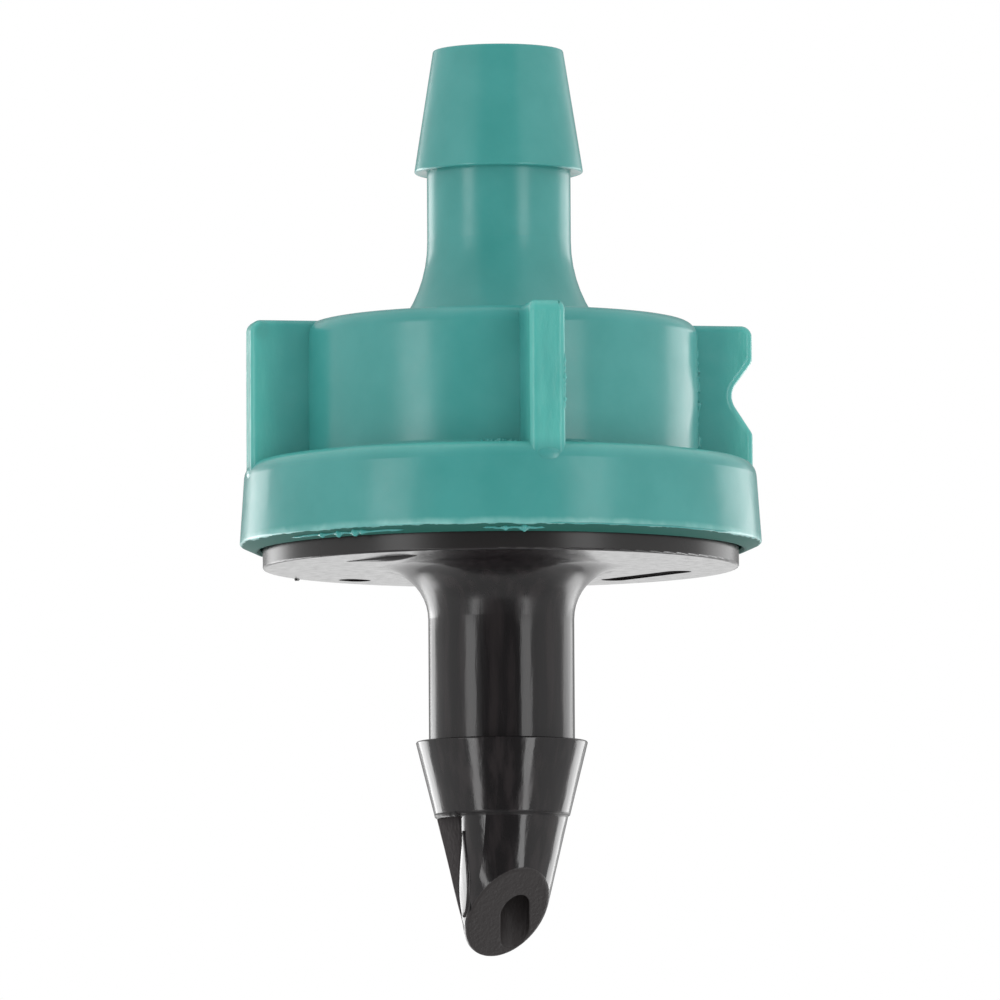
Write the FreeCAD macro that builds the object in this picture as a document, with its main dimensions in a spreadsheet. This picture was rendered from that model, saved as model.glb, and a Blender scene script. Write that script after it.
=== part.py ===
import FreeCAD, Part
import math
import os
from types import SimpleNamespace

import Sketcher

# Drip emitter, in millimetres. Z runs up the middle of both spigots, and z = 0 is the
# underside of the base's flange, the face that comes to rest on the pipe wall.

SIZES = {
    # base, below the flange
    "stem_radius": 2.15,
    "stem_root_round": 1.5,
    "inlet_shoulder": 5.1,
    "inlet_barb_radius": 2.54,
    "inlet_barb_round": 0.05,
    "cone_ledge": 7.3,
    "cone_ledge_radius": 1.99,
    "cone_ledge_round": 0.03,
    "cone_step": 0.045,
    "cone_foot": 11.9,
    "cone_foot_radius": 0.864,
    "bevel_depth": 10.53,
    "bevel_turn": -65.0,
    "bevel_reach": 3.5,
    "bevel_edge_round": 0.12,
    "port_edge_round": 0.04,
    "relief_blade": 0.47,
    "relief_near": 1.24,
    "relief_lip_round": 1.0,
    "relief_reach": 3.0,
    # base, water way
    "inlet_bore": 1.3,
    "bore_taper_top": 5.6,
    "throat_top": 7.1,
    "throat_radius": 0.62,
    "throat_foot": 9.2,
    "port_width": 0.84,
    "port_length": 1.5,
    "port_shift_x": 0.345,
    "port_shift_y": 0.05,
    # base, flange and boss
    "flange_radius": 7.01,
    "flange_thick": 1.2,
    "flange_edge_round": 0.07,
    "bead_radius": 7.2,
    "bead_low": 0.84,
    "bead_slope": 0.11,
    "bead_flat": 0.1,
    "boss_radius": 4.7,
    "boss_top": 2.85,
    "chamber_radius": 3.7,
    "chamber_floor": 1.35,
    "fin_count": 12,
    "fin_thick": 0.4,
    "fin_inner": 2.2,
    "fin_outer": 3.1,
    "fin_top": 2.7,
    "side_port_width": 0.6,
    "side_port_height": 0.7,
    # shallow recesses under the flange
    "recess_depth": 0.16,
    "recess_width": 0.75,
    "long_recess_radius": 5.2,
    "long_recess_turn": 34.0,
    "long_recess_half": 1.7,
    "short_recess_radius": 5.9,
    "short_recess_turn": 137.5,
    "short_recess_half": 0.15,
    # labyrinth ring
    "ring_gap": 0.08,
    "ring_lift": 0.02,
    "ring_outer": 6.1,
    "ring_height": 0.9,
    "channel_inner": 5.08,
    "channel_outer": 5.82,
    "channel_depth": 0.55,
    "tooth_thick": 0.22,
    "tooth_reach": 0.44,
    "tooth_count": 24,
    # seal ring
    "seal_ring_radius": 6.62,
    "seal_cord_radius": 0.4,
    "seal_lift": 0.01,
    # diaphragm
    "diaphragm_radius": 4.4,
    "diaphragm_thick": 1.0,
    "diaphragm_low": 2.9,
    "diaphragm_round": 0.12,
    # cap, inside
    "cap_rim": 0.52,
    "lip_radius": 7.1,
    "rim_chamfer": 0.08,
    "groove_radius": 7.28,
    "groove_low": 0.76,
    "groove_slope": 0.12,
    "groove_flat": 0.24,
    "skirt_bore": 7.1,
    "skirt_roof": 2.2,
    "drum_bore": 4.8,
    "ledge_height": 4.2,
    "ledge_bore": 3.8,
    "drum_roof": 6.2,
    "seat_radius": 2.1,
    "seat_height": 4.3,
    "seat_groove_width": 0.3,
    "seat_groove_depth": 0.12,
    "way_outer": 5.15,
    "way_width": 0.9,
    "way_top": 5.0,
    # cap, outside
    "rim_outer": 7.24,
    "skirt_foot": 0.72,
    "skirt_foot_radius": 7.69,
    "skirt_foot_round": 0.08,
    "skirt_top": 3.14,
    "skirt_top_radius": 7.52,
    "skirt_top_round": 0.5,
    "drum_radius": 5.83,
    "drum_top": 7.25,
    "drum_top_round": 0.45,
    "drum_foot_round": 0.2,
    "neck_radius": 2.12,
    "flare_round": 4.0,
    "flare_top": 9.67,
    "outlet_shoulder": 11.68,
    "outlet_shoulder_rise": 0.08,
    "outlet_barb_radius": 2.5,
    "outlet_barb_round": 0.06,
    "outlet_top": 15.34,
    "outlet_tip_radius": 1.92,
    "outlet_tip_round": 0.07,
    "outlet_bore": 1.3,
    # grip wings
    "wing_count": 4,
    "wing_turn": -79.2,
    "wing_thick": 1.04,
    "wing_root": 5.3,
    "wing_foot": 2.5,
    "wing_foot_radius": 7.53,
    "wing_radius": 7.52,
    "wing_top": 7.23,
    "wing_corner": 0.32,
    "wing_edge_round": 0.2,
    "notch_mouth_radius": 8.05,
    "notch_mouth_top": 6.88,
    "notch_mouth_low": 3.24,
    "notch_floor_radius": 6.99,
    "notch_floor_top": 5.44,
    "notch_floor_low": 4.84,
    "notch_floor_round": 0.6,
    "notch_corner_round": 0.25,
}

ZERO_GAP = 1e-9
MATCH = 1e-3
CLEAR = 0.5


class Size:
    """A length that carries its number and the sheet expression that drives it."""

    def __init__(self, value, text):
        self.value = float(value)
        self.text = text

    @staticmethod
    def of(other):
        """Wraps a plain number, so that it can stand beside a size."""
        return other if isinstance(other, Size) else Size(other, repr(other))

    def __add__(self, other):
        other = Size.of(other)
        return Size(self.value + other.value, f"({self.text} + {other.text})")

    def __sub__(self, other):
        other = Size.of(other)
        return Size(self.value - other.value, f"({self.text} - {other.text})")

    def __mul__(self, other):
        other = Size.of(other)
        return Size(self.value * other.value, f"({self.text} * {other.text})")

    def __truediv__(self, other):
        other = Size.of(other)
        return Size(self.value / other.value, f"({self.text} / {other.text})")

    def __neg__(self):
        return Size(-self.value, f"(-1 * {self.text})")


ORIGIN = Size(0.0, "0")


def make_sizes(doc):
    """Writes the sizes into the document's sheet and returns them by name."""
    sheet = doc.addObject("Spreadsheet::Sheet", "Sizes")
    for row, (name, value) in enumerate(SIZES.items(), start=1):
        sheet.set(f"A{row}", str(value))
        sheet.setAlias(f"A{row}", name)
    doc.recompute()
    return SimpleNamespace(**{name: Size(value, f"Sizes.{name}") for name, value in SIZES.items()})


def new_body(doc, label):
    body = doc.addObject("PartDesign::Body", label)
    body.Label = label
    return body


def origin_feature(body, role):
    return next(item for item in body.Origin.OriginFeatures if item.Role == role)


def new_sketch(body, name, role="XZ_Plane", turn=None, lift=None):
    """Puts a sketch on one of the body's own planes, turned about Z or lifted along it."""
    sketch = body.newObject("Sketcher::SketchObject", name)
    sketch.AttachmentSupport = [(origin_feature(body, role), "")]
    sketch.MapMode = "FlatFace"
    if turn is not None:
        upright = FreeCAD.Vector(0, 1, 0)
        sketch.AttachmentOffset = FreeCAD.Placement(
            FreeCAD.Vector(), FreeCAD.Rotation(upright, turn.value))
        sketch.setExpression("AttachmentOffset.Rotation.Angle", f"{turn.text} * 1 deg")
    if lift is not None:
        sketch.AttachmentOffset = FreeCAD.Placement(
            FreeCAD.Vector(0, 0, lift.value), FreeCAD.Rotation())
        sketch.setExpression("AttachmentOffset.Base.z", lift.text)
    return sketch


def hold(sketch, kind, element, point, size):
    """Holds one coordinate of a sketch point to a size of the sheet."""
    if abs(size.value) < ZERO_GAP:
        axis = -2 if kind == "DistanceX" else -1
        sketch.addConstraint(Sketcher.Constraint("PointOnObject", element, point, axis))
        return
    row = sketch.addConstraint(Sketcher.Constraint(kind, -1, 1, element, point, size.value))
    sketch.setExpression(f"Constraints[{row}]", size.text)


def arc_between(start, end, radius, turns_left):
    """Gives the shorter arc of that radius between two points, or a half round for None."""
    chord = end - start
    radius = chord.Length / 2 if radius is None else radius.value
    side = FreeCAD.Vector(-chord.y, chord.x, 0).normalize()
    if not turns_left:
        side = side * -1
    height = math.sqrt(max(radius ** 2 - (chord.Length / 2) ** 2, 0))
    centre = (start + end) * 0.5 + side * height
    first, last = (start, end) if turns_left else (end, start)
    circle = Part.Circle(centre, FreeCAD.Vector(0, 0, 1), radius)
    from_angle = math.atan2(first.y - centre.y, first.x - centre.x)
    to_angle = math.atan2(last.y - centre.y, last.x - centre.x)
    return Part.ArcOfCircle(circle, from_angle, to_angle)


def draw_outline(sketch, steps):
    """Closes a chain of straight runs and arcs whose ends are held by sizes.

    A step is (x, y) for a straight run to that point, (x, y, radius, "left") for an arc that
    turns left on its way there, or the same with "right". An arc whose radius is None is a
    half round with its two ends level.
    """
    count = len(steps)
    ends = []
    for index, step in enumerate(steps):
        before = steps[index - 1]
        start = FreeCAD.Vector(before[0].value, before[1].value, 0)
        end = FreeCAD.Vector(step[0].value, step[1].value, 0)
        if len(step) == 2:
            element = sketch.addGeometry(Part.LineSegment(start, end))
            ends.append((element, 1, 2))
            continue
        turns_left = step[3] == "left"
        element = sketch.addGeometry(arc_between(start, end, step[2], turns_left))
        ends.append((element, 1, 2) if turns_left else (element, 2, 1))
    for index, step in enumerate(steps):
        element, _, last = ends[index]
        after, first, _ = ends[(index + 1) % count]
        sketch.addConstraint(Sketcher.Constraint("Coincident", element, last, after, first))
    for index, step in enumerate(steps):
        element, _, last = ends[index]
        hold(sketch, "DistanceX", element, last, step[0])
        hold(sketch, "DistanceY", element, last, step[1])
        if len(step) == 2:
            continue
        if step[2] is None:
            hold(sketch, "DistanceY", element, 3, step[1])
            continue
        row = sketch.addConstraint(Sketcher.Constraint("Radius", element, step[2].value))
        sketch.setExpression(f"Constraints[{row}]", step[2].text)


def draw_box(sketch, left, right, low, high):
    draw_outline(sketch, [(left, low), (right, low), (right, high), (left, high)])


def draw_slot(sketch, middle_x, middle_y, half_length, radius):
    """Draws a slot along Y with round ends."""
    low = middle_y - half_length
    high = middle_y + half_length
    draw_outline(sketch, [
        (middle_x + radius, high),
        (middle_x - radius, high, None, "left"),
        (middle_x - radius, low),
        (middle_x + radius, low, None, "left"),
    ])


def draw_circle(sketch, radius):
    circle = Part.Circle(FreeCAD.Vector(), FreeCAD.Vector(0, 0, 1), radius.value)
    element = sketch.addGeometry(circle)
    sketch.addConstraint(Sketcher.Constraint("Coincident", element, 3, -1, 1))
    row = sketch.addConstraint(Sketcher.Constraint("Radius", element, radius.value))
    sketch.setExpression(f"Constraints[{row}]", radius.text)


def settle(body, feature, volume_before, grows):
    """Recomputes a feature and makes sure that it added or removed material."""
    body.Document.recompute()
    change = feature.Shape.Volume - volume_before
    if change == 0 or (change > 0) != grows:
        raise RuntimeError(f"{body.Label}: {feature.Label} changed the volume by {change:.4f}")
    return feature


def volume_of(body):
    return body.Tip.Shape.Volume if body.Tip else 0.0


def revolve(body, sketch, cuts=False):
    """Turns a sketch about Z, as material or as a cut."""
    before = volume_of(body)
    kind = "PartDesign::Groove" if cuts else "PartDesign::Revolution"
    feature = body.newObject(kind, f"{sketch.Name}_turned")
    feature.Profile = sketch
    feature.ReferenceAxis = (sketch, ["V_Axis"])
    feature.Angle = 360
    return settle(body, feature, before, not cuts)


def extrude(body, sketch, length, cuts=False, both_ways=False, flipped=False):
    """Pads or pockets a sketch over a length."""
    before = volume_of(body)
    kind = "PartDesign::Pocket" if cuts else "PartDesign::Pad"
    feature = body.newObject(kind, f"{sketch.Name}_{'cut' if cuts else 'pad'}")
    feature.Profile = sketch
    feature.Midplane = both_ways
    feature.Reversed = flipped
    feature.Length = length.value
    feature.setExpression("Length", length.text)
    return settle(body, feature, before, not cuts)


def repeat_around(body, features, count, grows):
    """Repeats features about Z, evenly over a full turn."""
    before = volume_of(body)
    pattern = body.newObject("PartDesign::PolarPattern", f"{features[-1].Name}_around")
    pattern.Originals = features
    pattern.Axis = (origin_feature(body, "Z_Axis"), [""])
    pattern.Angle = 360
    pattern.Occurrences = int(count.value)
    pattern.setExpression("Occurrences", count.text)
    body.Tip = pattern
    return settle(body, pattern, before, grows)


def mirror_front_to_back(body, feature, grows):
    before = volume_of(body)
    mirror = body.newObject("PartDesign::Mirrored", f"{feature.Name}_mirrored")
    mirror.Originals = [feature]
    mirror.MirrorPlane = (origin_feature(body, "XZ_Plane"), [""])
    body.Tip = mirror
    return settle(body, mirror, before, grows)


def ring_edges(shape, radius, height):
    """Names the circular edges of one radius at one height."""
    names = []
    for number, edge in enumerate(shape.Edges, start=1):
        curve = edge.Curve
        if not isinstance(curve, Part.Circle):
            continue
        right_size = abs(curve.Radius - radius.value) < MATCH
        right_place = abs(curve.Center.z - height.value) < MATCH
        if right_size and right_place:
            names.append(f"Edge{number}")
    return names


def edges_where(shape, accepts):
    """Names the edges whose middle point and length pass a test."""
    names = []
    for number, edge in enumerate(shape.Edges, start=1):
        middle = edge.valueAt((edge.FirstParameter + edge.LastParameter) / 2)
        if accepts(edge, middle):
            names.append(f"Edge{number}")
    return names


def round_edges(body, names, radius, name):
    """Rounds the named edges of the body's last feature."""
    if not names:
        raise RuntimeError(f"{body.Label}: no edges for {name}")
    base = body.Tip
    fillet = body.newObject("PartDesign::Fillet", name)
    fillet.Base = (base, names)
    fillet.Radius = radius.value
    fillet.setExpression("Radius", radius.text)
    body.Document.recompute()
    if fillet.Shape.isNull():
        raise RuntimeError(f"{body.Label}: {name} cannot be rounded by {radius.value}")
    return fillet


# ---------------------------------------------------------------- base

def base_outside(body, s):
    """The turned body: tip cone, barb, stem, flange with its snap bead, and open boss."""
    sketch = new_sketch(body, "base_profile")
    bead_out = s.bead_low + s.bead_slope
    bead_in = bead_out + s.bead_flat
    draw_outline(sketch, [
        (ORIGIN, -s.cone_foot),
        (s.cone_foot_radius, -s.cone_foot),
        (s.cone_ledge_radius - s.cone_step, -s.cone_ledge),
        (s.cone_ledge_radius, -s.cone_ledge),
        (s.inlet_barb_radius, -s.inlet_shoulder),
        (s.stem_radius, -s.inlet_shoulder),
        (s.stem_radius, -s.stem_root_round),
        (s.stem_radius + s.stem_root_round, ORIGIN, s.stem_root_round, "right"),
        (s.flange_radius, ORIGIN),
        (s.flange_radius, s.bead_low),
        (s.bead_radius, bead_out),
        (s.bead_radius, bead_in),
        (s.flange_radius, bead_in + s.bead_slope),
        (s.flange_radius, s.flange_thick),
        (s.boss_radius, s.flange_thick),
        (s.boss_radius, s.boss_top),
        (s.chamber_radius, s.boss_top),
        (s.chamber_radius, s.chamber_floor),
        (ORIGIN, s.chamber_floor),
    ])
    revolve(body, sketch)


def base_water_way(body, s):
    """The bore down the stem, which narrows to a throat inside the cone."""
    sketch = new_sketch(body, "bore_profile")
    draw_outline(sketch, [
        (ORIGIN, s.chamber_floor + CLEAR),
        (ORIGIN, -s.throat_foot),
        (s.throat_radius, -s.throat_foot),
        (s.throat_radius, -s.throat_top),
        (s.inlet_bore, -s.bore_taper_top),
        (s.inlet_bore, s.chamber_floor + CLEAR),
    ])
    revolve(body, sketch, cuts=True)


def base_relief(body, s):
    """Two hollows beside the piercing edge, front and back, that leave a thin blade."""
    sketch = new_sketch(body, "relief_plan", "XY_Plane", lift=-s.cone_ledge)
    blade_face = s.relief_blade / -2
    draw_outline(sketch, [
        (-s.relief_near, blade_face),
        (-s.relief_reach, blade_face),
        (-s.relief_reach, -s.relief_reach),
        (-s.relief_near, -s.relief_reach),
    ])
    hollow = extrude(body, sketch, s.cone_foot - s.cone_ledge + CLEAR, cuts=True)
    mirror_front_to_back(body, hollow, grows=False)

    def is_lip(edge, middle):
        """The long edges where a hollow's end wall meets the cone."""
        on_wall = abs(middle.x + s.relief_near.value) < MATCH
        outside = abs(middle.y) > s.relief_blade.value
        return on_wall and outside and middle.z < -s.cone_ledge.value - MATCH

    lips = edges_where(body.Tip.Shape, is_lip)
    round_edges(body, lips, s.relief_lip_round, "relief_lips")


def base_port(body, s):
    """The long hole that opens on the bevel."""
    sketch = new_sketch(body, "port_plan", "XY_Plane", lift=-s.throat_foot + CLEAR)
    draw_slot(sketch, s.port_shift_x, s.port_shift_y,
              (s.port_length - s.port_width) / 2, s.port_width / 2)
    extrude(body, sketch, s.cone_foot - s.throat_foot + CLEAR * 2, cuts=True)


def base_bevel(body, s):
    """The 45 degree slice that makes the piercing point."""
    sketch = new_sketch(body, "bevel_side", turn=s.bevel_turn)
    draw_outline(sketch, [
        (-s.bevel_reach, -s.bevel_depth - s.bevel_reach),
        (s.bevel_reach, -s.bevel_depth - s.bevel_reach),
        (s.bevel_reach, s.bevel_reach - s.bevel_depth),
    ])
    extrude(body, sketch, s.bevel_reach * 2, cuts=True, both_ways=True)


def base_tip_edges(body, s):
    """The soft edges of the barb, the ledge, the bevel and the port."""
    turn = math.radians(s.bevel_turn.value)

    def is_on_bevel(middle):
        along = middle.x * math.cos(turn) + middle.y * math.sin(turn)
        return abs(middle.z - along + s.bevel_depth.value) < MATCH

    def is_in_port(middle):
        reach = math.hypot(middle.x - s.port_shift_x.value, middle.y - s.port_shift_y.value)
        return reach < s.port_length.value / 2 + MATCH

    def is_bevel_rim(edge, middle):
        return is_on_bevel(middle) and not is_in_port(middle)

    def is_port_rim(edge, middle):
        return is_on_bevel(middle) and is_in_port(middle)

    shoulder = ring_edges(body.Tip.Shape, s.inlet_barb_radius, -s.inlet_shoulder)
    round_edges(body, shoulder, s.inlet_barb_round, "inlet_barb_edge")
    ledge = ring_edges(body.Tip.Shape, s.cone_ledge_radius, -s.cone_ledge)
    round_edges(body, ledge, s.cone_ledge_round, "cone_ledge_edge")
    rim = edges_where(body.Tip.Shape, is_bevel_rim)
    round_edges(body, rim, s.bevel_edge_round, "bevel_rim")
    port = edges_where(body.Tip.Shape, is_port_rim)
    round_edges(body, port, s.port_edge_round, "port_rim")


def base_fins(body, s):
    """The fins in the inlet chamber, which hold back grit."""
    half_pitch = Size(180.0, "180") / s.fin_count
    sketch = new_sketch(body, "fin_side", turn=half_pitch)
    draw_box(sketch, s.fin_inner, s.fin_outer, s.chamber_floor - CLEAR / 2, s.fin_top)
    fin = extrude(body, sketch, s.fin_thick, both_ways=True)
    repeat_around(body, [fin], s.fin_count, grows=True)


def base_side_ports(body, s):
    """The two slots through the boss that feed the labyrinth ring."""
    sketch = new_sketch(body, "side_port_front", "XZ_Plane")
    half = s.side_port_width / 2
    draw_box(sketch, -half, half, s.chamber_floor, s.chamber_floor + s.side_port_height)
    extrude(body, sketch, s.boss_radius * 2 + CLEAR, cuts=True, both_ways=True)


def recess_slot(body, s, name, radius, turn, half_length):
    """One shallow recess in the flange's underside, square to its radius."""
    sketch = body.newObject("Sketcher::SketchObject", name)
    sketch.AttachmentSupport = [(origin_feature(body, "XY_Plane"), "")]
    sketch.MapMode = "FlatFace"
    sketch.AttachmentOffset = FreeCAD.Placement(
        FreeCAD.Vector(), FreeCAD.Rotation(FreeCAD.Vector(0, 0, 1), turn.value))
    sketch.setExpression("AttachmentOffset.Rotation.Angle", f"{turn.text} * 1 deg")
    draw_slot(sketch, radius, ORIGIN, half_length, s.recess_width / 2)
    extrude(body, sketch, s.recess_depth, cuts=True, flipped=True)


def make_base(doc, s):
    body = new_body(doc, "base")
    base_outside(body, s)
    base_water_way(body, s)
    base_relief(body, s)
    base_port(body, s)
    base_bevel(body, s)
    base_tip_edges(body, s)
    base_fins(body, s)
    base_side_ports(body, s)
    recess_slot(body, s, "long_recess", s.long_recess_radius, s.long_recess_turn,
                s.long_recess_half)
    recess_slot(body, s, "short_recess", s.short_recess_radius, s.short_recess_turn,
                s.short_recess_half)
    rim = ring_edges(body.Tip.Shape, s.flange_radius, ORIGIN)
    round_edges(body, rim, s.flange_edge_round, "flange_edge")
    return body


# ---------------------------------------------------------------- inner pieces

def make_labyrinth_ring(doc, s):
    """A ring round the boss whose underside carries a zigzag channel."""
    body = new_body(doc, "labyrinth_ring")
    foot = s.flange_thick + s.ring_lift
    ring = new_sketch(body, "ring_section")
    draw_box(ring, s.boss_radius + s.ring_gap, s.ring_outer, foot, foot + s.ring_height)
    revolve(body, ring)
    channel = new_sketch(body, "channel_section")
    draw_box(channel, s.channel_inner, s.channel_outer, foot - CLEAR, foot + s.channel_depth)
    revolve(body, channel, cuts=True)
    inner = new_sketch(body, "inner_tooth")
    draw_box(inner, s.channel_inner - s.ring_gap, s.channel_inner + s.tooth_reach,
             foot, foot + s.channel_depth + s.ring_gap)
    inner_tooth = extrude(body, inner, s.tooth_thick, both_ways=True)
    repeat_around(body, [inner_tooth], s.tooth_count, grows=True)
    half_pitch = Size(180.0, "180") / s.tooth_count
    outer = new_sketch(body, "outer_tooth", turn=half_pitch)
    draw_box(outer, s.channel_outer - s.tooth_reach, s.channel_outer + s.ring_gap,
             foot, foot + s.channel_depth + s.ring_gap)
    outer_tooth = extrude(body, outer, s.tooth_thick, both_ways=True)
    repeat_around(body, [outer_tooth], s.tooth_count, grows=True)
    return body


def make_seal_ring(doc, s):
    """The round-section ring that lies on the flange inside the skirt."""
    ring = doc.addObject("Part::Torus", "seal_ring")
    ring.Label = "seal_ring"
    ring.setExpression("Radius1", s.seal_ring_radius.text)
    ring.setExpression("Radius2", s.seal_cord_radius.text)
    height = s.flange_thick + s.seal_lift + s.seal_cord_radius
    ring.setExpression("Placement.Base.z", height.text)
    return ring


def make_diaphragm(doc, s):
    """The loose silicone disc."""
    body = new_body(doc, "diaphragm")
    sketch = new_sketch(body, "disc_plan", "XY_Plane", lift=s.diaphragm_low)
    draw_circle(sketch, s.diaphragm_radius)
    disc = extrude(body, sketch, s.diaphragm_thick)
    rims = ring_edges(disc.Shape, s.diaphragm_radius, s.diaphragm_low)
    rims += ring_edges(disc.Shape, s.diaphragm_radius, s.diaphragm_low + s.diaphragm_thick)
    round_edges(body, rims, s.diaphragm_round, "disc_edges")
    return body


# ---------------------------------------------------------------- cap

def cap_shell(body, s):
    """The turned cap: nozzle with its barb, flared neck, drum, and skirt with a snap groove."""
    sketch = new_sketch(body, "cap_profile")
    groove_out = s.groove_low + s.groove_slope
    groove_in = groove_out + s.groove_flat
    flare_foot = s.flare_round.value - math.sqrt(
        s.flare_round.value ** 2 - (s.flare_top.value - s.drum_top.value) ** 2)
    flare_text = ("(Sizes.flare_round - sqrt(Sizes.flare_round ^ 2 - "
                  "(Sizes.flare_top - Sizes.drum_top) ^ 2))")
    draw_outline(sketch, [
        (s.outlet_bore, s.outlet_top),
        (s.outlet_bore, s.seat_height),
        (s.seat_radius, s.seat_height),
        (s.seat_radius, s.drum_roof),
        (s.ledge_bore, s.drum_roof),
        (s.ledge_bore, s.ledge_height),
        (s.drum_bore, s.ledge_height),
        (s.drum_bore, s.skirt_roof),
        (s.skirt_bore, s.skirt_roof),
        (s.skirt_bore, groove_in + s.groove_slope),
        (s.groove_radius, groove_in),
        (s.groove_radius, groove_out),
        (s.lip_radius, s.groove_low),
        (s.lip_radius, s.cap_rim + s.rim_chamfer),
        (s.lip_radius + s.rim_chamfer, s.cap_rim),
        (s.rim_outer, s.cap_rim),
        (s.skirt_foot_radius, s.skirt_foot),
        (s.skirt_top_radius, s.skirt_top),
        (s.drum_radius, s.skirt_top),
        (s.drum_radius, s.drum_top),
        (s.neck_radius + Size(flare_foot, flare_text), s.drum_top),
        (s.neck_radius, s.flare_top, s.flare_round, "right"),
        (s.neck_radius, s.outlet_shoulder + s.outlet_shoulder_rise),
        (s.outlet_barb_radius, s.outlet_shoulder),
        (s.outlet_tip_radius, s.outlet_top),
    ])
    revolve(body, sketch)
    rounds = [
        ("outlet_tip_edge", s.outlet_tip_radius, s.outlet_top, s.outlet_tip_round),
        ("outlet_barb_edge", s.outlet_barb_radius, s.outlet_shoulder, s.outlet_barb_round),
        ("drum_top_edge", s.drum_radius, s.drum_top, s.drum_top_round),
        ("drum_foot_edge", s.drum_radius, s.skirt_top, s.drum_foot_round),
        ("skirt_top_edge", s.skirt_top_radius, s.skirt_top, s.skirt_top_round),
        ("skirt_foot_edge", s.skirt_foot_radius, s.skirt_foot, s.skirt_foot_round),
    ]
    for name, radius, height, rounding in rounds:
        round_edges(body, ring_edges(body.Tip.Shape, radius, height), rounding, name)


def cap_wings(body, s):
    """Four grip wings from the drum to the skirt, with round outer corners."""
    sketch = new_sketch(body, "wing_side", turn=s.wing_turn)
    draw_outline(sketch, [
        (s.wing_root, s.wing_foot),
        (s.wing_foot_radius, s.wing_foot),
        (s.wing_radius, s.wing_top - s.wing_corner),
        (s.wing_radius - s.wing_corner, s.wing_top, s.wing_corner, "left"),
        (s.wing_root, s.wing_top),
    ])
    wing = extrude(body, sketch, s.wing_thick, both_ways=True)
    repeat_around(body, [wing], s.wing_count, grows=True)


def cap_notch(body, s):
    """The notch in the outer edge of one wing, which tells the flow rate by touch."""
    next_wing = Size(360.0, "360") / s.wing_count
    sketch = new_sketch(body, "notch_side", turn=s.wing_turn + next_wing)
    draw_outline(sketch, [
        (s.notch_mouth_radius, s.notch_mouth_top),
        (s.notch_floor_radius, s.notch_floor_top),
        (s.notch_floor_radius, s.notch_floor_low, s.notch_floor_round, "left"),
        (s.notch_mouth_radius, s.notch_mouth_low),
    ])
    extrude(body, sketch, s.wing_thick * 2, cuts=True, both_ways=True)
    turn = math.radians((s.wing_turn + next_wing).value)

    def is_notch_corner(edge, middle):
        """The straight edges across the wing at the notch's mouth and floor."""
        along = middle.x * math.cos(turn) + middle.y * math.sin(turn)
        across = middle.y * math.cos(turn) - middle.x * math.sin(turn)
        low = s.notch_mouth_low.value
        high = s.wing_top.value - s.wing_corner.value - MATCH
        inside = low < middle.z < high and along > s.notch_floor_radius.value - MATCH
        return inside and abs(across) < MATCH

    corners = edges_where(body.Tip.Shape, is_notch_corner)
    round_edges(body, corners, s.notch_corner_round, "notch_corners")


def cap_wing_edges(body, s):
    """The soft edges down both sides of every wing, notch and top included."""
    turns = [
        math.radians(s.wing_turn.value + 360 * index / s.wing_count.value)
        for index in range(int(s.wing_count.value))
    ]

    def is_side_edge(edge, middle):
        """The edges that lie in a wing's side faces, clear of the drum and the skirt."""
        if middle.z < s.skirt_top.value + CLEAR / 4:
            return False
        for turn in turns:
            along = middle.x * math.cos(turn) + middle.y * math.sin(turn)
            across = middle.y * math.cos(turn) - middle.x * math.sin(turn)
            on_side = abs(abs(across) - s.wing_thick.value / 2) < MATCH
            if on_side and along > s.drum_radius.value + CLEAR / 4:
                return True
        return False

    sides = edges_where(body.Tip.Shape, is_side_edge)
    round_edges(body, sides, s.wing_edge_round, "wing_edges")


def cap_seat_groove(body, s):
    """The fine groove across the outlet seat, which never lets the disc close it fully."""
    sketch = new_sketch(body, "seat_groove", "XY_Plane", lift=s.seat_height)
    half = s.seat_groove_width / 2
    draw_box(sketch, s.outlet_bore - CLEAR, s.seat_radius + CLEAR, -half, half)
    extrude(body, sketch, s.seat_groove_depth, cuts=True, flipped=True)


def cap_water_way(body, s):
    """The upright channel in the drum's wall, from the labyrinth to above the disc."""
    sketch = new_sketch(body, "water_way", "XY_Plane", lift=s.skirt_roof)
    half = s.way_width / 2
    draw_box(sketch, s.ledge_bore - CLEAR, s.way_outer, -half, half)
    extrude(body, sketch, s.way_top - s.skirt_roof, cuts=True, flipped=True)


def make_cap(doc, s):
    body = new_body(doc, "cap")
    cap_shell(body, s)
    cap_wings(body, s)
    cap_notch(body, s)
    cap_wing_edges(body, s)
    cap_seat_groove(body, s)
    cap_water_way(body, s)
    return body


def check_document(doc):
    """Stops if any object of the document failed to compute."""
    for item in doc.Objects:
        if "Invalid" in item.State or "Error" in item.State:
            raise RuntimeError(f"{item.Label} did not compute: {item.State}")


def write_part(piece):
    """Writes one sub-part, once its shape has been checked."""
    shape = piece.Shape
    if shape.isNull() or not shape.isValid() or len(shape.Solids) != 1:
        raise RuntimeError(f"{piece.Label} is not one valid solid")
    box = shape.BoundBox
    print(f"{piece.Label}: volume {shape.Volume:.2f}, z {box.ZMin:.2f} to {box.ZMax:.2f}")
    shape.exportStep(os.path.join("parts", f"{piece.Label}.step"))


def main():
    doc = FreeCAD.newDocument("drip_emitter")
    sizes = make_sizes(doc)
    pieces = [
        make_base(doc, sizes),
        make_labyrinth_ring(doc, sizes),
        make_seal_ring(doc, sizes),
        make_diaphragm(doc, sizes),
        make_cap(doc, sizes),
    ]
    doc.recompute()
    check_document(doc)
    os.makedirs("parts", exist_ok=True)
    for piece in pieces:
        write_part(piece)


main()
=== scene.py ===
"""Drip emitter: the looks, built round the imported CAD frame."""
import math

import bpy
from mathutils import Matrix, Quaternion, Vector, noise


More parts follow.
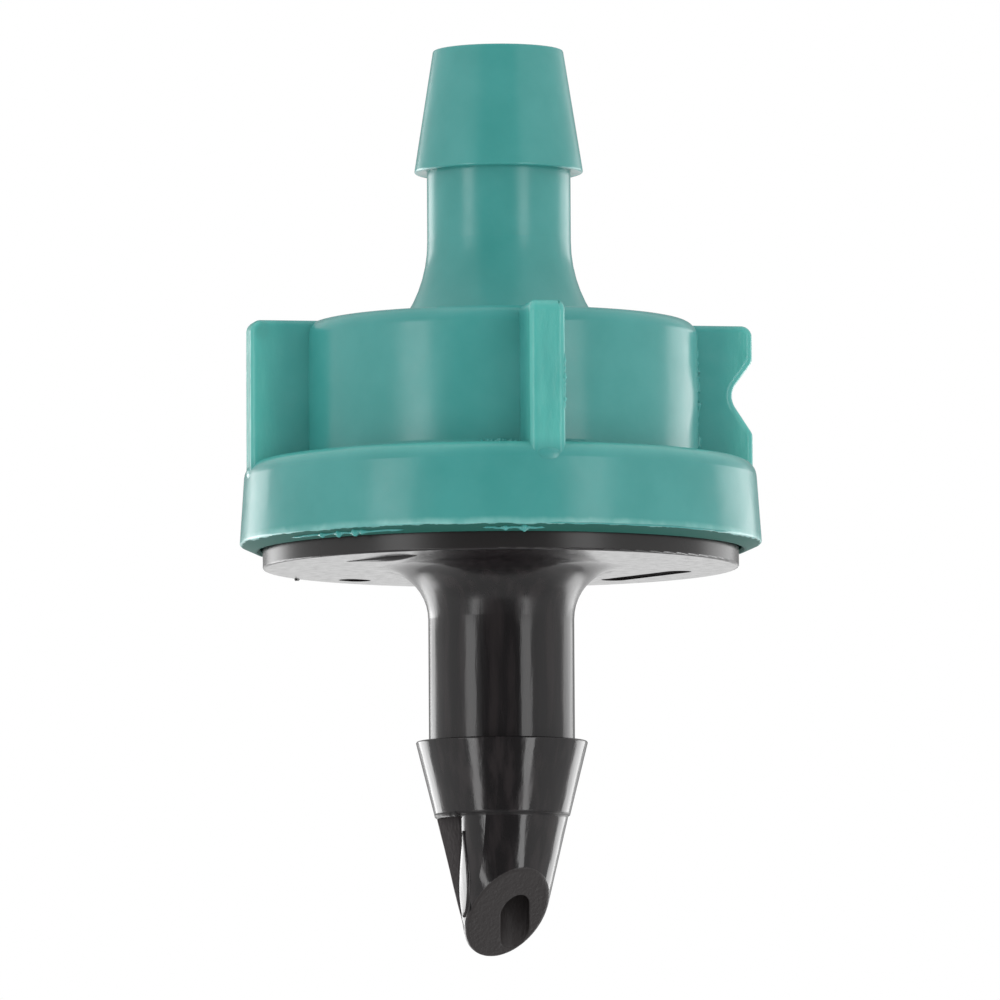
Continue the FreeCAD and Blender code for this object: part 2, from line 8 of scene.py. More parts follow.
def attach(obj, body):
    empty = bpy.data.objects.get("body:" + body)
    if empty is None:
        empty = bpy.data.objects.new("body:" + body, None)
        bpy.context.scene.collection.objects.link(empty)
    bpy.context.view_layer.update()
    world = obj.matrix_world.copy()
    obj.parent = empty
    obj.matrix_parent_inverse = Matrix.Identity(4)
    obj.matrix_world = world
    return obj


MM = 0.001
SENSOR_WIDTH = 36.0
VIEW_WIDTH = 29.45 * MM
CAMERA_DISTANCE = 0.4
CAMERA_DROP = math.radians(4.9)
CAMERA_ROLL = math.radians(-0.33)
CAMERA_TARGET = Vector((-0.015 * MM, 0.0, 2.03 * MM))
LIGHT_DISTANCE = 0.7
FLOOR_Z = -1.2
FLOOR_SIZE = 4.0
FLOOR_LEVEL = 0.85

# sizes of the part that the looks refer to, in millimetres
BEVEL_TURN = math.radians(-65.0)
BEVEL_DEPTH = 10.53
PORT_MIDDLE = (0.345, 0.05)
CONE_LEDGE = 7.3
CONE_RADIUS = 1.93
BLADE_HALF = 0.235
RELIEF_WALL = 1.24
FLANGE_RADIUS = 7.01
SKIRT_TOP = 3.14
DRUM_RADIUS = 5.83
WING_COUNT = 4
WING_TURN = math.radians(-79.2)
WING_HALF = 0.52
RIM_RADIUS = 7.69
RIM_EDGE = 0.72
SLOPE_RADIUS = 7.44
SLOPE_HEIGHT = 0.60
SHOULDER_REACH = 7.055
SHOULDER_HEIGHT = 2.64
SHOULDER_ROUND = 0.5

# how finely the mould marks are meshed
TUBE_SIDES = 14
PATCH_STEPS = 16


# ---------------------------------------------------------------- nodes

def node_material(name):
    """An empty node material and its shader."""
    material = bpy.data.materials.new(name)
    material.use_nodes = True
    tree = material.node_tree
    return material, tree, tree.nodes["Principled BSDF"]


def set_values(shader, **values):
    """Sets values straight on a shader's sockets, by names with underscores for blanks."""
    for name, value in values.items():
        shader.inputs[name.replace("_", " ")].default_value = value


def noise_node(tree, vector, scale, detail=3.0):
    """Cloudy noise; the scale is in clouds per unit of the vector."""
    node = tree.nodes.new("ShaderNodeTexNoise")
    node.inputs["Scale"].default_value = scale
    node.inputs["Detail"].default_value = detail
    tree.links.new(vector, node.inputs["Vector"])
    return node.outputs["Fac"]


def place_node(tree, stretch=(1.0, 1.0, 1.0)):
    """Object coordinates in millimetres, stretched per axis."""
    coordinates = tree.nodes.new("ShaderNodeTexCoord")
    mapping = tree.nodes.new("ShaderNodeMapping")
    mapping.inputs["Scale"].default_value = [1 / MM * value for value in stretch]
    tree.links.new(coordinates.outputs["Object"], mapping.inputs["Vector"])
    return mapping.outputs["Vector"]


def range_node(tree, value, low, high, new_low, new_high):
    """A smooth step from one value to another between two limits."""
    node = tree.nodes.new("ShaderNodeMapRange")
    node.interpolation_type = "SMOOTHSTEP"
    for socket, number in zip(node.inputs[1:5], (low, high, new_low, new_high)):
        socket.default_value = number
    tree.links.new(value, node.inputs["Value"])
    return node.outputs["Result"]


def math_node(tree, operation, *values):
    """One sum, with numbers or sockets as its terms."""
    node = tree.nodes.new("ShaderNodeMath")
    node.operation = operation
    for socket, value in zip(node.inputs, values):
        if isinstance(value, (int, float)):
            socket.default_value = value
        else:
            tree.links.new(value, socket)
    return node.outputs["Value"]


def along_node(tree, place, direction, shift=0.0):
    """How far a place lies along a direction, plus a shift."""
    node = tree.nodes.new("ShaderNodeVectorMath")
    node.operation = "DOT_PRODUCT"
    tree.links.new(place, node.inputs[0])
    node.inputs[1].default_value = direction
    return math_node(tree, "ADD", node.outputs["Value"], shift)


def reach_node(tree, place, middle=(0.0, 0.0)):
    """The distance of a place from an upright line."""
    across = along_node(tree, place, (1.0, 0.0, 0.0), -middle[0])
    deep = along_node(tree, place, (0.0, 1.0, 0.0), -middle[1])
    square = math_node(tree, "ADD", math_node(tree, "MULTIPLY", across, across),
                       math_node(tree, "MULTIPLY", deep, deep))
    return math_node(tree, "SQRT", square)


def mix_values(tree, factor, first, second):
    """A blend of two values, each a number or a socket."""
    node = tree.nodes.new("ShaderNodeMix")
    tree.links.new(factor, node.inputs[0])
    for socket, value in ((node.inputs[2], first), (node.inputs[3], second)):
        if isinstance(value, (int, float)):
            socket.default_value = value
        else:
            tree.links.new(value, socket)
    return node.outputs[0]


def mix_colours(tree, factor, first, second):
    """A blend of two colours, each a tuple or a socket."""
    node = tree.nodes.new("ShaderNodeMix")
    node.data_type = "RGBA"
    tree.links.new(factor, node.inputs["Factor"])
    for socket, colour in ((node.inputs[6], first), (node.inputs[7], second)):
        if isinstance(colour, tuple):
            socket.default_value = (*colour, 1.0)
        else:
            tree.links.new(colour, socket)
    return node.outputs[2]


def bump_node(tree, height, distance, strength=1.0, below=None):
    """A bump in metres, on top of the one below."""
    node = tree.nodes.new("ShaderNodeBump")
    node.inputs["Distance"].default_value = distance
    if isinstance(strength, (int, float)):
        node.inputs["Strength"].default_value = strength
    else:
        tree.links.new(strength, node.inputs["Strength"])
    tree.links.new(height, node.inputs["Height"])
    if below is not None:
        tree.links.new(below, node.inputs["Normal"])
    return node.outputs["Normal"]


# ---------------------------------------------------------------- materials

TEAL_DEEP = (0.066, 0.385, 0.360)
TEAL_PALE = (0.084, 0.425, 0.400)
TEAL_PAINTED_GLOW = (0.120, 0.580, 0.520)
TEAL_PAINTED_HIGHLIGHT = (0.300, 0.680, 0.640)
TEAL_SHADE = (0.028, 0.150, 0.125)
BLACK_DEEP = (0.0125, 0.0110, 0.0118)
BLACK_WARM = (0.0250, 0.0205, 0.0215)
BLACK_SIDE = (0.0210, 0.0190, 0.0190)
BLACK_MATTE = (0.0860, 0.0770, 0.0780)
BLACK_BEVEL = (0.0270, 0.0225, 0.0225)
BLACK_PORT = (0.0330, 0.0280, 0.0280)


def thin_mask(tree, place):
    """1 where the cap is a thin wing that the light comes through, 0 elsewhere."""
    upward = along_node(tree, place, (0.0, 0.0, 1.0))
    outer = range_node(tree, reach_node(tree, place), 6.4, 7.45, 0.0, 1.0)
    above = range_node(tree, upward, 2.7, 3.3, 0.0, 1.0)
    below = range_node(tree, upward, 7.4, 8.0, 1.0, 0.0)
    return math_node(tree, "MULTIPLY", outer, math_node(tree, "MULTIPLY", above, below))


def teal_plastic(name, paint_rim_light_and_shade):
    """Moulded polypropylene: satin, slightly translucent, with a faint orange peel.

    When its second argument is true, the edge of the lower rim gets a painted highlight and the
    slope under it painted shade.
    """
    material, tree, shader = node_material(name)
    set_values(shader, IOR=1.54, Subsurface_Weight=0.15, Subsurface_Scale=0.7 * MM)
    shader.inputs["Subsurface Radius"].default_value = (0.35, 1.0, 0.9)
    place = place_node(tree)
    upward = along_node(tree, place, (0.0, 0.0, 1.0))
    mottle = range_node(tree, noise_node(tree, place, 0.55, detail=4.0), 0.3, 0.7, 0.0, 1.0)
    colour = mix_colours(tree, mottle, TEAL_DEEP, TEAL_PALE)
    thin = thin_mask(tree, place)
    flow = noise_node(tree, place_node(tree, (1.0, 1.0, 0.18)), 2.6, detail=3.0)
    # Painted glow: the thin wings are painted a paler teal in place of light coming through
    # them, in streaks along the flow.
    painted_glow = math_node(tree, "MULTIPLY", thin, range_node(tree, flow, 0.3, 0.65, 0.7, 1.0))
    colour = mix_colours(tree, painted_glow, colour, TEAL_PAINTED_GLOW)
    haze = noise_node(tree, place, 1.3, detail=2.0)
    roughness = range_node(tree, haze, 0.3, 0.7, 0.20, 0.27)
    if paint_rim_light_and_shade:
        wander = range_node(tree, flow, 0.3, 0.7, -0.02, 0.02)
        rise = math_node(tree, "SUBTRACT", upward, wander)
        # Painted highlight: a pale teal band along the edge of the lower rim, in place of the
        # light caught there.
        edge = range_node(tree, rise, RIM_EDGE + 0.22, RIM_EDGE + 0.03, 0.0, 1.0)
        painted_rim_highlight = math_node(tree, "MULTIPLY", edge, range_node(tree, haze, 0.35, 0.65, 0.35, 0.8))
        colour = mix_colours(tree, painted_rim_highlight, colour, TEAL_PAINTED_HIGHLIGHT)
        # Painted shade: the slope under the rim is painted dark teal, duller and less shiny, in
        # place of the shade under the overhang.
        shade = range_node(tree, rise, RIM_EDGE - 0.03, RIM_EDGE - 0.01, 1.0, 0.0)
        colour = mix_colours(tree, shade, colour, TEAL_SHADE)
        roughness = mix_values(tree, shade, roughness, 0.55)
        shine = range_node(tree, shade, 0.0, 1.0, 0.5, 0.12)
        tree.links.new(shine, shader.inputs["Specular IOR Level"])
    tree.links.new(colour, shader.inputs["Base Color"])
    tree.links.new(roughness, shader.inputs["Roughness"])
    wave = noise_node(tree, place, 0.8, detail=1.0)
    normal = bump_node(tree, wave, 0.012 * MM)
    peel = noise_node(tree, place, 5.5, detail=2.0)
    normal = bump_node(tree, peel, 0.0012 * MM, below=normal)
    ripple = noise_node(tree, place_node(tree, (1.0, 1.0, 0.3)), 5.0, detail=4.0)
    normal = bump_node(tree, ripple, 0.016 * MM, strength=thin, below=normal)
    tree.links.new(normal, shader.inputs["Normal"])
    return material


def tip_masks(tree, place):
    """Masks of the matt places on the piercing tip: the bevel, the port's inside, the blade."""
    upward = along_node(tree, place, (0.0, 0.0, 1.0))
    slope = (-math.cos(BEVEL_TURN), -math.sin(BEVEL_TURN), 1.0)
    off_bevel = math_node(tree, "ABSOLUTE", along_node(tree, place, slope, BEVEL_DEPTH))
    bevel = range_node(tree, off_bevel, 0.03, 0.09, 1.0, 0.0)
    deep = range_node(tree, upward, -8.2, -8.0, 1.0, 0.0)
    bore = range_node(tree, reach_node(tree, place, PORT_MIDDLE), 0.82, 0.9, 1.0, 0.0)
    port = math_node(tree, "MULTIPLY", bore, deep)
    port = math_node(tree, "MULTIPLY", port, math_node(tree, "SUBTRACT", 1.0, bevel))
    off_middle = math_node(tree, "ABSOLUTE", along_node(tree, place, (0.0, 1.0, 0.0)))
    thin = range_node(tree, off_middle, BLADE_HALF + 0.005, BLADE_HALF + 0.03, 1.0, 0.0)
    beside = range_node(tree, along_node(tree, place, (1.0, 0.0, 0.0)),
                        -RELIEF_WALL - 0.02, -RELIEF_WALL, 1.0, 0.0)
    under = range_node(tree, upward, -CONE_LEDGE - 0.02, -CONE_LEDGE + 0.01, 1.0, 0.0)
    blade = math_node(tree, "MULTIPLY", thin, math_node(tree, "MULTIPLY", beside, under))
    return bevel, port, blade


def black_gloss(tree, upward, streak, side, ledge):
    """Roughness above the tip: duller on the flange's side, in the fillet and at the ledge."""
    gloss = range_node(tree, streak, 0.3, 0.7, 0.11, 0.18)
    gloss = mix_values(tree, side, gloss, 0.27)
    gloss = mix_values(tree, ledge, gloss, 0.4)
    fillet = math_node(tree, "MINIMUM", range_node(tree, upward, -2.0, -1.2, 0.0, 1.0),
                       range_node(tree, upward, -0.35, -0.12, 1.0, 0.0))
    return mix_values(tree, fillet, gloss, 0.27)


def black_bump(tree, upward, matte):
    """Flow lines below the flange, and a coarser grain on the matt places."""
    below = range_node(tree, upward, -0.5, -1.5, 0.0, 1.0)
    grain = noise_node(tree, place_node(tree, (1.0, 1.0, 0.12)), 4.0, detail=3.0)
    normal = bump_node(tree, grain, 0.006 * MM, strength=below)
    rough = noise_node(tree, place_node(tree, (1.0, 1.0, 0.4)), 9.0, detail=4.0)
    return bump_node(tree, rough, 0.035 * MM, strength=matte, below=normal)


def black_plastic():
    """Moulded polypropylene: glossy black with faint streaks along the flow, matt at the tip."""
    material, tree, shader = node_material("black_plastic")
    set_values(shader, IOR=1.49)
    place = place_node(tree)
    upward = along_node(tree, place, (0.0, 0.0, 1.0))
    bevel, port, blade = tip_masks(tree, place)
    matte = math_node(tree, "MAXIMUM", bevel, math_node(tree, "MAXIMUM", port, blade))
    streak = noise_node(tree, place_node(tree, (1.0, 1.0, 0.09)), 3.2, detail=4.0)
    tint = range_node(tree, streak, 0.42, 0.68, 0.0, 1.0)
    colour = mix_colours(tree, tint, BLACK_DEEP, BLACK_WARM)
    side = range_node(tree, upward, 0.02, 0.06, 0.0, 1.0)
    for mask, dull in ((side, BLACK_SIDE), (blade, BLACK_MATTE), (bevel, BLACK_BEVEL),
                       (port, BLACK_PORT)):
        colour = mix_colours(tree, mask, colour, dull)
    tree.links.new(colour, shader.inputs["Base Color"])
    off_ledge = math_node(tree, "ABSOLUTE", math_node(tree, "ADD", upward, CONE_LEDGE))
    ledge = range_node(tree, off_ledge, 0.04, 0.09, 1.0, 0.0)
    tree.links.new(mix_values(tree, ledge, 0.5, 0.3), shader.inputs["Specular IOR Level"])
    gloss = black_gloss(tree, upward, streak, side, ledge)
    tree.links.new(mix_values(tree, matte, gloss, 0.62), shader.inputs["Roughness"])
    tree.links.new(black_bump(tree, upward, matte), shader.inputs["Normal"])
    return material


def silicone():
    """Translucent silicone, cloudy through its thickness."""
    material, tree, shader = node_material("silicone")
    set_values(shader, IOR=1.41, Roughness=0.35, Subsurface_Weight=0.6,
               Subsurface_Scale=0.8 * MM)
    cloud = noise_node(tree, place_node(tree), 0.9, detail=3.0)
    colour = mix_colours(tree, cloud, (0.55, 0.53, 0.49), (0.70, 0.68, 0.63))
    tree.links.new(colour, shader.inputs["Base Color"])
    return material


def seal_rubber():
    """Dull black elastomer."""
    material, tree, shader = node_material("seal_rubber")
    set_values(shader, IOR=1.5, Roughness=0.55)
    grain = noise_node(tree, place_node(tree), 9.0, detail=3.0)
    colour = mix_colours(tree, grain, (0.012, 0.012, 0.012), (0.022, 0.022, 0.022))
    tree.links.new(colour, shader.inputs["Base Color"])
    tree.links.new(bump_node(tree, grain, 0.004 * MM), shader.inputs["Normal"])
    return material


def natural_acetal():
    """Milky moulded acetal."""
    material, tree, shader = node_material("natural_acetal")
    set_values(shader, IOR=1.48, Roughness=0.38, Subsurface_Weight=0.3,
               Subsurface_Scale=0.5 * MM)
    cloud = noise_node(tree, place_node(tree), 1.1, detail=3.0)
    colour = mix_colours(tree, cloud, (0.66, 0.65, 0.60), (0.76, 0.75, 0.70))
    tree.links.new(colour, shader.inputs["Base Color"])
    return material


def floor_paint():
    """Plain matt white, with the faintest cloud in it."""
    material, tree, shader = node_material("floor_paint")
    set_values(shader, Roughness=0.9)
    cloud = noise_node(tree, place_node(tree), 0.002)
    colour = mix_colours(tree, cloud, (FLOOR_LEVEL,) * 3, (FLOOR_LEVEL * 0.98,) * 3)
    tree.links.new(colour, shader.inputs["Base Color"])
    return material


def dress(node, material):
    """Gives a CAD node its material."""
    for slot in node.material_slots:
        slot.material = material


# ---------------------------------------------------------------- mould marks

def ring_point(radius, azimuth, height):
    """A point at an azimuth in degrees; 0 is the camera's side and positive to the right."""
    turn = math.radians(azimuth)
    return Vector((radius * math.sin(turn), -radius * math.cos(turn), height))


def wing_point(along, across, height, turn=WING_TURN):
    """A point on a wing, from its own directions out of and across it."""
    out = Vector((math.cos(turn), math.sin(turn), 0.0))
    side = Vector((-math.sin(turn), math.cos(turn), 0.0))
    return out * along + side * across + Vector((0.0, 0.0, height))


def ragged(place, size, seed):
    """A steady pseudo-random value from 0 to 1 at a place."""
    return 0.5 + 0.5 * noise.noise(Vector((place * size, seed * 7.3, seed * 1.9)))


def add_piece(name, points, faces, body, material):
    """A smooth mesh from points in millimetres, riding on a body."""
    mesh = bpy.data.meshes.new(name)
    mesh.from_pydata([point * MM for point in points], [], faces)
    mesh.polygons.foreach_set("use_smooth", [True] * len(faces))
    mesh.materials.append(material)
    piece = bpy.data.objects.new(name, mesh)
    bpy.context.scene.collection.objects.link(piece)
    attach(piece, body)


def make_tube(name, middles, radii, body, material, flat=1.0):
    """A closed tube with a radius at every point, flattened along Z by flat."""
    points = []
    for index, (middle, radius) in enumerate(zip(middles, radii)):
        before = middles[max(index - 1, 0)]
        after = middles[min(index + 1, len(middles) - 1)]
        ahead = (after - before).normalized()
        helper = Vector((0.0, 0.0, 1.0)) if abs(ahead.z) < 0.9 else Vector((0.0, -1.0, 0.0))
        side = ahead.cross(helper).normalized()
        up = side.cross(ahead)
        for step in range(TUBE_SIDES):
            turn = 2 * math.pi * step / TUBE_SIDES
            points.append(middle + side * (radius * math.cos(turn))
                          + up * (radius * flat * math.sin(turn)))
    faces = []
    for row in range(len(middles) - 1):
        for step in range(TUBE_SIDES):
            after = (step + 1) % TUBE_SIDES
            low = row * TUBE_SIDES
            high = low + TUBE_SIDES
            faces.append((low + step, low + after, high + after, high + step))
    faces.append(tuple(reversed(range(TUBE_SIDES))))
    faces.append(tuple(range(len(points) - TUBE_SIDES, len(points))))
    add_piece(name, points, faces, body, material)


def make_patch(name, grid, body, material):
    """A closed pillow: a square grid of points in front and four points behind it."""
    side = PATCH_STEPS + 1
    faces = []
    for row in range(PATCH_STEPS):
        for column in range(PATCH_STEPS):
            corner = row * side + column
            faces.append((corner, corner + 1, corner + side + 1, corner + side))
    top = list(range(side))
    bottom = [PATCH_STEPS * side + column for column in range(side)]
    left = [row * side for row in range(side)]
    right = [row * side + PATCH_STEPS for row in range(side)]
    top_left, top_right, low_left, low_right = range(side * side, side * side + 4)
    faces.append((*reversed(top), top_left, top_right))
    faces.append((*bottom, low_right, low_left))
    faces.append((*left, low_left, top_left))
    faces.append((*reversed(right), top_right, low_right))
    faces.append((top_right, top_left, low_left, low_right))
    add_piece(name, grid, faces, body, material)


def patch_places():
    """The grid of a patch, row by row: down from 0 to 1, and across from -1 to 1."""
    for row in range(PATCH_STEPS + 1):
        for column in range(PATCH_STEPS + 1):
            yield row / PATCH_STEPS, 2.0 * column / PATCH_STEPS - 1.0


def arc_points(radius, start, end, height, count):
    """Points round the middle axis, from one azimuth to another."""
    return [ring_point(radius, start + (end - start) * step / (count - 1), height)
            for step in range(count)]


def bead_radii(count, thin, thick, lumps, seed, waves=26.0):
    """Radii of a ragged bead: noise of so many waves, and lumps.

    A lump is its place from 0 to 1, its radius and its spread.
    """
    radii = []
    for index in range(count):
        place = index / (count - 1)
        radius = thin + (thick - thin) * ragged(place, waves, seed)
        for middle, size, spread in lumps:
            radius += size * math.exp(-((place - middle) / spread) ** 2)
        fade = min(place, 1 - place) / 0.06
        radii.append(radius * min(max(fade, 0.05), 1.0))
    return radii


def rim_bead(name, start, end, radius, height, thin, thick, lumps, seed, material):
    """Flash left along the cap's lower rim, from one azimuth to another."""
    count = max(int(abs(end - start) * 5), 24)
    points = []
    for index in range(count):
        place = index / (count - 1)
        drift = 0.04 * (ragged(place, 14.0, seed + 3) - 0.5)
        points.append(ring_point(radius + drift, start + (end - start) * place, height + drift))
    radii = bead_radii(count, thin, thick, lumps, seed)
    make_tube(name, points, radii, "cap", material)


def line_bead(name, first, last, count, thin, thick, lumps, seed, body, material,
              drift=0.03):
    """A ragged bead along a straight line, which strays from it by up to half the drift."""
    points = []
    for index in range(count):
        place = index / (count - 1)
        wander = Vector((ragged(place, 17.0, seed + 1) - 0.5,
                         0.0, ragged(place, 21.0, seed + 2) - 0.5)) * drift
        points.append(first.lerp(last, place) + wander)
    radii = bead_radii(count, thin, thick, lumps, seed)
    make_tube(name, points, radii, body, material)


def rim_marks(material):
    """Flash under the cap's rim."""
    rim_bead("rim_flash_left", -55, -22, SLOPE_RADIUS, SLOPE_HEIGHT, 0.02, 0.05,
             ((0.33, 0.06, 0.020), (0.48, 0.09, 0.022), (0.62, 0.10, 0.025), (0.68, 0.06, 0.02)),
             1, material)
    rim_bead("rim_flash_middle", -4, 10, SLOPE_RADIUS, SLOPE_HEIGHT, 0.02, 0.05,
             ((0.36, 0.06, 0.04), (0.66, 0.10, 0.06)), 2, material)
    rim_bead("rim_flash_right", 10, 60, RIM_RADIUS, RIM_EDGE, 0.012, 0.035, (), 3, material)


def weld_line(material):
    """The rough line between the drum and the notched wing."""
    notched = WING_TURN + 2 * math.pi / WING_COUNT
    root = DRUM_RADIUS - 0.03
    line_bead("weld_line_right", wing_point(root, -WING_HALF, 3.4, notched),
              wing_point(root, -WING_HALF, 6.6, notched), 90, 0.03, 0.13,
              ((0.2, 0.05, 0.03), (0.45, 0.05, 0.02), (0.7, 0.06, 0.03)),
              4, "cap", material, drift=0.16)


def drum_marks(material):
    """Flash at the drum's foot, left and right of the front wing."""
    height = SKIRT_TOP + 0.06
    make_tube("foot_flash_front", arc_points(DRUM_RADIUS + 0.12, -6.0, 5.0, height, 80),
              bead_radii(80, 0.02, 0.17, (), 6, waves=14.0), "cap", material)
    make_tube("foot_flash_right", arc_points(DRUM_RADIUS + 0.1, 17.0, 67.0, height, 120),
              bead_radii(120, 0.02, 0.08, (), 7), "cap", material)


def wing_nicks(material):
    """Nicks along the right edge of the front wing."""
    edge = WING_HALF - 0.04
    line_bead("wing_nicks", wing_point(7.40, edge, 3.9), wing_point(7.40, edge, 5.7),
              70, 0.02, 0.075, ((0.25, 0.03, 0.03), (0.6, 0.04, 0.04), (0.85, 0.03, 0.03)),
              8, "cap", material)


def shoulder_reach(height):
    """How far the skirt's round shoulder reaches at a height."""
    rise = max(height - SHOULDER_HEIGHT, 0.0)
    return SHOULDER_REACH + math.sqrt(SHOULDER_ROUND ** 2 - rise ** 2)


def wing_feet(material):
    """The low tongue in which every wing runs out over the skirt's shoulder."""
    top, fall = 3.02, 0.52
    sunk, swelling = 0.02, 0.08
    for index in range(WING_COUNT):
        turn = WING_TURN + index * 2 * math.pi / WING_COUNT
        grid = []
        for down, across in patch_places():
            height = top - fall * down
            half = 0.50 * (1.0 - 0.55 * down)
            swell = (1.0 - across ** 2) * (1.0 - down ** 2)
            reach = shoulder_reach(height) - sunk + swelling * swell
            grid.append(wing_point(reach, across * half, height, turn))
        for height in (3.0, 2.6):
            for across in (-0.15, 0.15):
                grid.append(wing_point(7.0, across, height, turn))
        make_patch(f"wing_foot_{index + 1}", grid, "cap", material)


def flange_marks(material):
    """The gate scar under the flange, and a burr on its edge."""
    start = Vector((-4.5, -2.9, 0.0))
    end = Vector((-2.45, -5.0, 0.0))
    count = 32
    places = [step / (count - 1) for step in range(count)]
    radii = [0.015 + 0.12 * math.sin(math.pi * place ** 1.6) for place in places]
    make_tube("gate_scar", [start.lerp(end, place) for place in places], radii,
              "base", material, flat=0.8)
    reach = FLANGE_RADIUS - 0.02
    line_bead("flange_burr", ring_point(reach, -121.0, 0.02), ring_point(reach, -119.2, 0.0),
              12, 0.03, 0.06, (), 13, "base", material)


def ledge_lip(material):
    """The rounded lip that the barb's ledge leaves over the hollow beside the blade."""
    first = math.degrees(math.asin(RELIEF_WALL / CONE_RADIUS))
    last = math.degrees(math.acos(BLADE_HALF / CONE_RADIUS))
    make_tube("ledge_lip", arc_points(CONE_RADIUS, -first, -last, -CONE_LEDGE, 30),
              bead_radii(30, 0.08, 0.11, (), 14), "base", material)


def blade_lip(material):
    """The flattened burr along the edge between the cone and the hollow beside the blade."""
    azimuth = -68.0
    outward = ring_point(1.0, azimuth, 0.0)
    forward = ring_point(1.0, azimuth + 90.0, 0.0)
    grid = []
    for down, across in patch_places():
        middle = Vector((-1.135, -1.24 + 0.725 * down, -7.8 - 2.5 * down))
        half = 0.04 + 0.33 * math.sin(math.pi * down ** 1.6) ** 0.8
        lift = 0.035 - 0.012 * across ** 2 + 0.006 * ragged(down + 0.1 * across, 7.0, 21)
        if abs(across) == 1.0:
            lift -= 0.09
        grid.append(middle + outward * lift + forward * (across * half))
    for height in (-7.9, -10.1):
        for depth in (-0.5, -0.9):
            grid.append(Vector((-0.95, depth, height)))
    make_patch("blade_lip", grid, "base", material)


# ---------------------------------------------------------------- stage

def make_camera():
    """A long lens from the front and a little below, rolled as the object leans."""
    camera = bpy.data.cameras.new("camera")
    camera.sensor_width = SENSOR_WIDTH
    camera.lens = SENSOR_WIDTH * CAMERA_DISTANCE / VIEW_WIDTH
    camera.clip_start = 0.01
    camera.clip_end = 20.0
    holder = bpy.data.objects.new("camera", camera)
    bpy.context.scene.collection.objects.link(holder)
    away = Vector((0.0, -math.cos(CAMERA_DROP), -math.sin(CAMERA_DROP)))
    holder.location = CAMERA_TARGET + away * CAMERA_DISTANCE
    holder.rotation_mode = "QUATERNION"
    roll = Quaternion((0.0, 0.0, 1.0), CAMERA_ROLL)
    holder.rotation_quaternion = (-away).to_track_quat("-Z", "Y") @ roll
    bpy.context.scene.camera = holder


def add_panel(name, azimuth, half_width, low, high, radiance, seen_as):
    """A soft box that spans angles in degrees as seen from the object.

    Azimuth 0 is the camera's side, positive to the right; low and high are elevations.
    Seen as "light" it only lights, as "mirrored" it only shows in reflections, as "both" it
    does both.
    """
    turn = math.radians(azimuth)
    lift = math.radians((low + high) / 2)
    towards = Vector((math.sin(turn) * math.cos(lift), -math.cos(turn) * math.cos(lift),
                      math.sin(lift)))
    width = 2 * LIGHT_DISTANCE * math.tan(math.radians(half_width))
    height = 2 * LIGHT_DISTANCE * math.tan(math.radians((high - low) / 2))
    light = bpy.data.lights.new(name, "AREA")
    light.shape = "RECTANGLE"
    light.size = width
    light.size_y = height
    light.energy = radiance * math.pi * width * height
    holder = bpy.data.objects.new(name, light)
    bpy.context.scene.collection.objects.link(holder)
    holder.location = towards * LIGHT_DISTANCE
    holder.rotation_mode = "QUATERNION"
    holder.rotation_quaternion = (-towards).to_track_quat("-Z", "Y")
    holder.visible_camera = False
    holder.visible_diffuse = seen_as != "mirrored"
    holder.visible_glossy = seen_as != "light"


PANELS = (
    # name, azimuth, half width, low, high, radiance, seen as
    ("strip_left_high", -50, 9, -2, 14, 2.3, "both"),
    ("strip_left_low", -41, 6, -31, -3, 4.0, "mirrored"),
    ("strip_right_high", 40, 9, -2, 14, 2.1, "both"),
    ("strip_right_low", 40, 6, -31, -3, 4.0, "mirrored"),
    ("back_left_high", -141, 12, -1, 12, 1.9, "both"),
    ("back_left_low", -137, 14, -38, 3, 4.2, "mirrored"),
    ("back_right_high", 134, 18, -1, 12, 1.55, "both"),
    ("back_right_low", 137, 14, -38, -1, 3.4, "mirrored"),
    ("front_fill", 5, 28, -35, 12, 0.95, "light"),
)


def room_level(tree, towards):
    """How bright the room is in a direction.

    It is dim round the camera and pale elsewhere, brighter overhead. Far behind, it is bright
    below the horizon and dim above it.
    """
    depth = along_node(tree, towards, (0.0, 1.0, 0.0))
    height = along_node(tree, towards, (0.0, 0.0, 1.0))
    square = math_node(tree, "MULTIPLY", height, height)
    flatness = math_node(tree, "SQRT", math_node(tree, "SUBTRACT", 1.0, square))
    facing = math_node(tree, "DIVIDE", depth, flatness)
    behind = range_node(tree, facing, 0.89, 0.93, 0.0, 1.0)
    over = range_node(tree, height, -0.03, 0.01, 0.26, -0.40)
    level = range_node(tree, facing, -0.90, -0.80, 0.12, 0.60)
    for extra in (range_node(tree, facing, -0.8, -0.4, 0.0, 0.16),
                  range_node(tree, height, 0.15, 0.8, 0.0, 0.20),
                  math_node(tree, "MULTIPLY", behind, over)):
        level = math_node(tree, "ADD", level, extra)
    return level


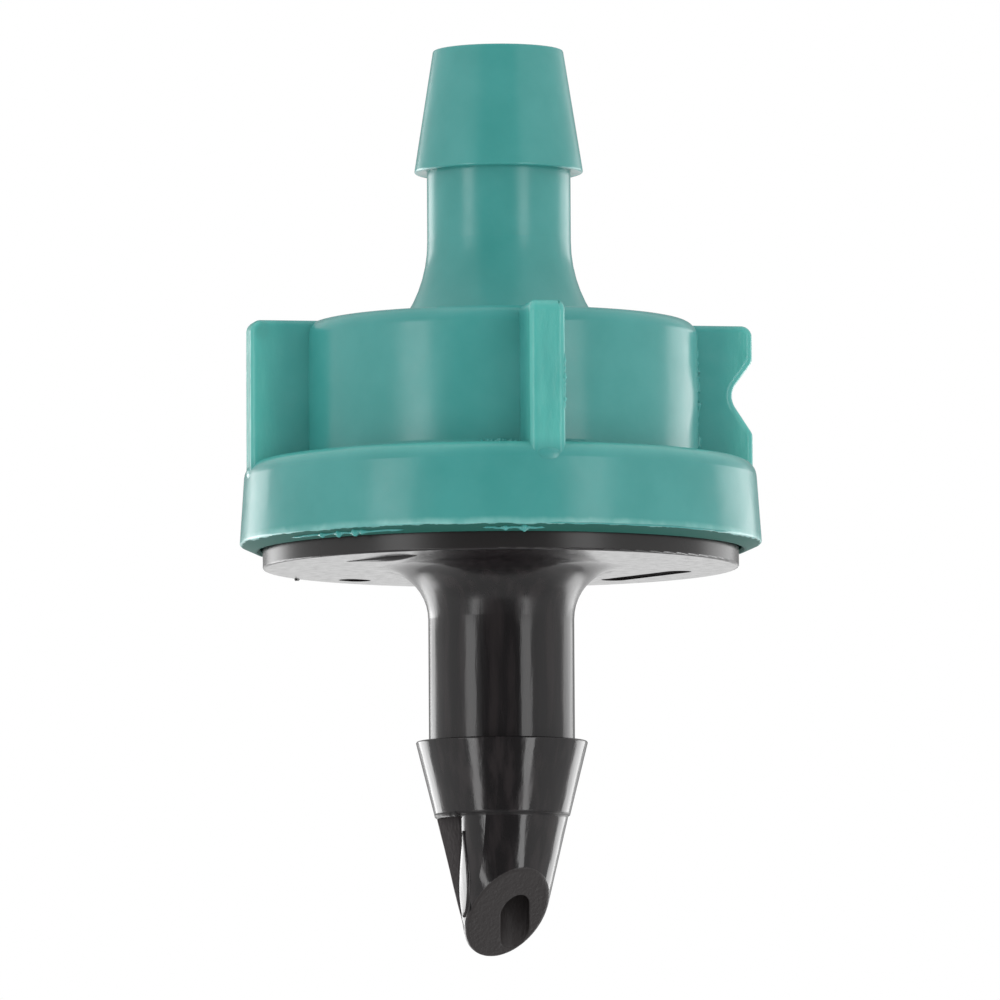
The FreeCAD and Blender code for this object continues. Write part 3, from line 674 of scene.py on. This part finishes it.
def make_world():
    """A white backdrop for the camera, and the room for everything else."""
    world = bpy.data.worlds.new("room")
    bpy.context.scene.world = world
    world.use_nodes = True
    tree = world.node_tree
    tree.nodes.clear()
    coordinates = tree.nodes.new("ShaderNodeTexCoord")
    room = tree.nodes.new("ShaderNodeBackground")
    tree.links.new(room_level(tree, coordinates.outputs["Generated"]), room.inputs["Strength"])
    backdrop = tree.nodes.new("ShaderNodeBackground")
    backdrop.inputs["Strength"].default_value = 1.0
    for background in (room, backdrop):
        background.inputs["Color"].default_value = (1.0, 1.0, 1.0, 1.0)
    path = tree.nodes.new("ShaderNodeLightPath")
    mix = tree.nodes.new("ShaderNodeMixShader")
    tree.links.new(path.outputs["Is Camera Ray"], mix.inputs["Fac"])
    tree.links.new(room.outputs["Background"], mix.inputs[1])
    tree.links.new(backdrop.outputs["Background"], mix.inputs[2])
    output = tree.nodes.new("ShaderNodeOutputWorld")
    tree.links.new(mix.outputs["Shader"], output.inputs["Surface"])


def make_floor():
    """A plain pale floor, well under the object."""
    half = FLOOR_SIZE / 2
    corners = [(-half, -half, FLOOR_Z), (half, -half, FLOOR_Z),
               (half, half, FLOOR_Z), (-half, half, FLOOR_Z)]
    mesh = bpy.data.meshes.new("floor")
    mesh.from_pydata(corners, [], [(0, 1, 2, 3)])
    floor = bpy.data.objects.new("floor", mesh)
    bpy.context.scene.collection.objects.link(floor)
    mesh.materials.append(floor_paint())


def plain_view():
    """Colours come out as they are."""
    settings = bpy.context.scene.view_settings
    settings.view_transform = "Standard"
    settings.look = "None"
    settings.exposure = 0.0
    settings.gamma = 1.0


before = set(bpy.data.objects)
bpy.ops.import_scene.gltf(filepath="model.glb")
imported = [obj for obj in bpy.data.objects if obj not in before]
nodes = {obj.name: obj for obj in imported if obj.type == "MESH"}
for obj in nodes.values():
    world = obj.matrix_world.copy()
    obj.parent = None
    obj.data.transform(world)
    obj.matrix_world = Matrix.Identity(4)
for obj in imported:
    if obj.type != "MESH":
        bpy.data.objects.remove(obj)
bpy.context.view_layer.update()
teal = teal_plastic("teal_flash", paint_rim_light_and_shade=False)
black = black_plastic()
dress(nodes["cap"], teal_plastic("teal_cap", paint_rim_light_and_shade=True))
dress(nodes["base"], black)
dress(nodes["diaphragm"], silicone())
dress(nodes["seal_ring"], seal_rubber())
dress(nodes["labyrinth_ring"], natural_acetal())
rim_marks(teal)
weld_line(teal)
drum_marks(teal)
wing_nicks(teal)
wing_feet(teal)
flange_marks(black)
ledge_lip(black)
blade_lip(black)
make_floor()
make_world()
for panel in PANELS:
    add_panel(*panel)
make_camera()
plain_view()
